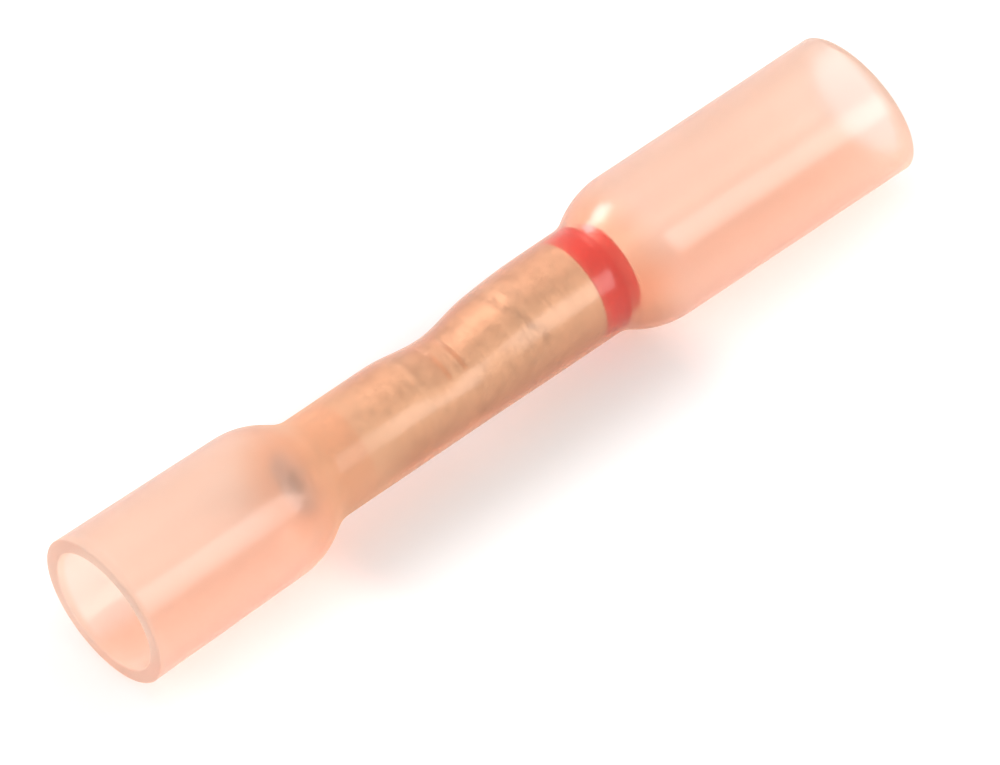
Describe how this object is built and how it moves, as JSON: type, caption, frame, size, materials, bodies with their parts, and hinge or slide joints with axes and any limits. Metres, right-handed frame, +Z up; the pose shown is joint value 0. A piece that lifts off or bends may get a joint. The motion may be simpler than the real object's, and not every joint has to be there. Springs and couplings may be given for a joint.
{
  "type": "step down butt connector",
  "caption": "Heat-shrink step down butt connector: a translucent sleeve with flared mouths, shrunk on to a stepped crimp barrel with a red ring.",
  "frame": {"origin": "under the middle of the sleeve, on the surface that the connector lies on", "axes": "+Z up; +X along the connector towards the mouth for the thick wire; the barrel's pressed side leans towards +Y and up"},
  "size_m": [0.039, 0.0066, 0.0066],
  "materials": {
    "sleeve_plastic": "translucent peach heat-shrink tube with a soft satin skin",
    "barrel_metal": "dull tin plate on drawn copper, with press marks",
    "ring_plastic": "red plastic ring"
  },
  "bodies": {
    "root": {"shrink_sleeve": "sleeve_plastic", "crimp_barrel": "barrel_metal", "colour_ring": "ring_plastic"}
  },
  "joints": []
}
